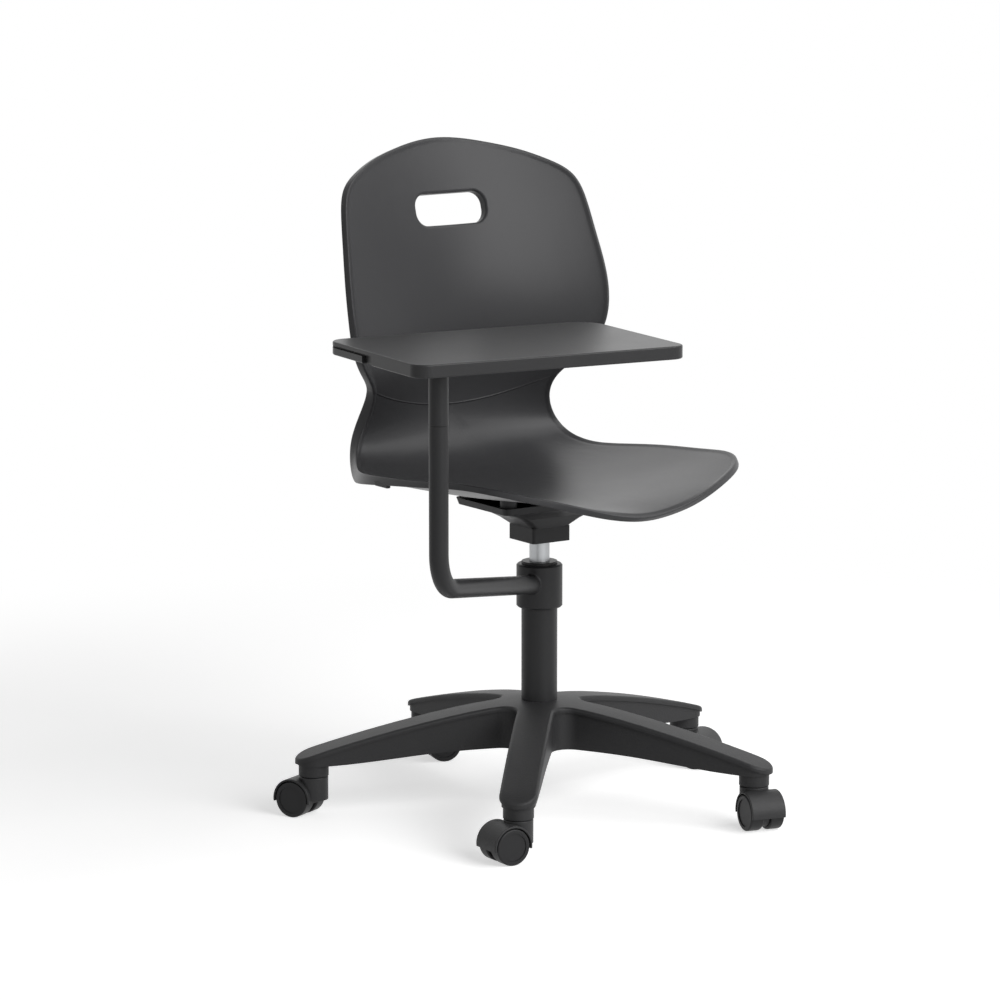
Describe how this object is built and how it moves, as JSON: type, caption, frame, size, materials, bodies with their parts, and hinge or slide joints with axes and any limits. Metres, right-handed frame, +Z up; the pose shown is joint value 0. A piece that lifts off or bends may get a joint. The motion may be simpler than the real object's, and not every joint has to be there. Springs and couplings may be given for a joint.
{
  "type": "writing tablet swivel chair",
  "caption": "Swivel chair with a one-piece moulded shell seat, gas lift, star base on twin-wheel casters and a writing tablet that turns on a bent tube arm.",
  "frame": {"origin": "on the floor on the axis of the column", "axes": "+Z up, the sitter faces -Y, +X to the sitter's left, the tablet arm stands at -X"},
  "size_m": [0.7333, 0.6697, 0.9137],
  "materials": {
    "shell": "fine-grained charcoal polypropylene",
    "base_nylon": "grained black nylon",
    "caster_hood": "satin black nylon",
    "caster_wheel": "satin black",
    "column": "fine charcoal powder coat",
    "bush": "smooth black acetal",
    "bracket": "satin black paint",
    "grip": "satin black",
    "cylinder": "ground and plated",
    "steel": "bright zinc",
    "tablet": "satin charcoal laminate"
  },
  "bodies": {
    "base": {"star_base": "base_nylon", "gas_column": "column", "column_bush": "bush"},
    "turret": {"piston_rod": "steel", "rod_bearing": "steel", "rod_piston": "steel", "rod_washer": "steel", "rod_clip": "steel"},
    "seat": {"gas_cylinder": "cylinder", "release_pin": "steel", "taper_socket": "bracket", "seat_bracket": "bracket", "seat_shell": "shell", "bracket_screw_1": "steel", "bracket_screw_2": "steel", "bracket_screw_3": "steel", "bracket_screw_4": "steel", "lever_pin": "steel"},
    "lever": {"release_lever": "bracket", "lever_grip": "grip"},
    "arm": {"arm_collar": "column", "collar_bush_upper": "bush", "collar_bush_lower": "bush", "collar_grub_screw": "steel", "arm_tube": "column", "arm_spigot": "steel"},
    "tablet": {"tablet_post": "column", "tablet_post_plug": "bush", "tablet_plate": "bracket", "tablet_board": "tablet", "tablet_screw_1": "steel", "tablet_screw_2": "steel", "tablet_screw_3": "steel", "tablet_screw_4": "steel"},
    "caster_1": {"caster_1_hood": "caster_hood", "caster_1_stem": "steel", "caster_1_axle": "steel"},
    "caster_1_left": {"caster_1_wheel_left": "caster_wheel"},
    "caster_1_right": {"caster_1_wheel_right": "caster_wheel"},
    "caster_2": {"caster_2_hood": "caster_hood", "caster_2_stem": "steel", "caster_2_axle": "steel"},
    "caster_2_left": {"caster_2_wheel_left": "caster_wheel"},
    "caster_2_right": {"caster_2_wheel_right": "caster_wheel"},
    "caster_3": {"caster_3_hood": "caster_hood", "caster_3_stem": "steel", "caster_3_axle": "steel"},
    "caster_3_left": {"caster_3_wheel_left": "caster_wheel"},
    "caster_3_right": {"caster_3_wheel_right": "caster_wheel"},
    "caster_4": {"caster_4_hood": "caster_hood", "caster_4_stem": "steel", "caster_4_axle": "steel"},
    "caster_4_left": {"caster_4_wheel_left": "caster_wheel"},
    "caster_4_right": {"caster_4_wheel_right": "caster_wheel"},
    "caster_5": {"caster_5_hood": "caster_hood", "caster_5_stem": "steel", "caster_5_axle": "steel"},
    "caster_5_left": {"caster_5_wheel_left": "caster_wheel"},
    "caster_5_right": {"caster_5_wheel_right": "caster_wheel"}
  },
  "joints": [
    {"name": "seat_swivel", "type": "hinge", "parent": "base", "child": "turret", "pos_m": [0, 0, 0.1], "axis": [0, 0, 1], "continuous": true},
    {"name": "seat_lift", "type": "slide", "parent": "turret", "child": "seat", "axis": [0, 0, 1], "range_m": [0, 0.1]},
    {"name": "lever_pull", "type": "hinge", "parent": "seat", "child": "lever", "pos_m": [0.046, 0, 0.4335], "axis": [0, -1, 0], "range_deg": [0, 4.5], "stiffness_Nm_per_rad": 3, "springref_deg": -2.86},
    {"name": "arm_swing", "type": "hinge", "parent": "turret", "child": "arm", "pos_m": [0, 0, 0.312], "axis": [0, 0, 1], "range_deg": [-20, 45]},
    {"name": "tablet_turn", "type": "hinge", "parent": "arm", "child": "tablet", "pos_m": [-0.30756, -0.21455, 0.6], "axis": [0, 0, 1], "range_deg": [-120, 25]},
    {"name": "caster_1_swivel", "type": "hinge", "parent": "base", "child": "caster_1", "pos_m": [-0.20311, -0.24727, 0.058], "axis": [0, 0, 1], "continuous": true},
    {"name": "caster_1_left_roll", "type": "hinge", "parent": "caster_1", "child": "caster_1_left", "pos_m": [-0.22508, -0.24612, 0.025], "axis": [-0.0523, -0.9986, 0], "continuous": true},
    {"name": "caster_1_right_roll", "type": "hinge", "parent": "caster_1", "child": "caster_1_right", "pos_m": [-0.22508, -0.24612, 0.025], "axis": [-0.0523, -0.9986, 0], "continuous": true},
    {"name": "caster_2_swivel", "type": "hinge", "parent": "base", "child": "caster_2", "pos_m": [0.17241, -0.26959, 0.058], "axis": [0, 0, 1], "continuous": true},
    {"name": "caster_2_left_roll", "type": "hinge", "parent": "caster_2", "child": "caster_2_left", "pos_m": [0.16783, -0.2911, 0.025], "axis": [0.9781, -0.2079, 0], "continuous": true},
    {"name": "caster_2_right_roll", "type": "hinge", "parent": "caster_2", "child": "caster_2_right", "pos_m": [0.16783, -0.2911, 0.025], "axis": [0.9781, -0.2079, 0], "continuous": true},
    {"name": "caster_3_swivel", "type": "hinge", "parent": "base", "child": "caster_3", "pos_m": [0.30967, 0.08066, 0.058], "axis": [0, 0, 1], "continuous": true},
    {"name": "caster_3_left_roll", "type": "hinge", "parent": "caster_3", "child": "caster_3_left", "pos_m": [0.3226, 0.06286, 0.025], "axis": [0.809, 0.5878, 0], "continuous": true},
    {"name": "caster_3_right_roll", "type": "hinge", "parent": "caster_3", "child": "caster_3_right", "pos_m": [0.3226, 0.06286, 0.025], "axis": [0.809, 0.5878, 0], "continuous": true},
    {"name": "caster_4_swivel", "type": "hinge", "parent": "base", "child": "caster_4", "pos_m": [0.01898, 0.31944, 0.058], "axis": [0, 0, 1], "continuous": true},
    {"name": "caster_4_left_roll", "type": "hinge", "parent": "caster_4", "child": "caster_4_left", "pos_m": [0.04032, 0.31411, 0.025], "axis": [0.2419, 0.9703, 0], "continuous": true},
    {"name": "caster_4_right_roll", "type": "hinge", "parent": "caster_4", "child": "caster_4_right", "pos_m": [0.04032, 0.31411, 0.025], "axis": [0.2419, 0.9703, 0], "continuous": true},
    {"name": "caster_5_swivel", "type": "hinge", "parent": "base", "child": "caster_5", "pos_m": [-0.29794, 0.11676, 0.058], "axis": [0, 0, 1], "continuous": true},
    {"name": "caster_5_left_roll", "type": "hinge", "parent": "caster_5", "child": "caster_5_left", "pos_m": [-0.30758, 0.13653, 0.025], "axis": [-0.8988, -0.4384, 0], "continuous": true},
    {"name": "caster_5_right_roll", "type": "hinge", "parent": "caster_5", "child": "caster_5_right", "pos_m": [-0.30758, 0.13653, 0.025], "axis": [-0.8988, -0.4384, 0], "continuous": true}
  ]
}
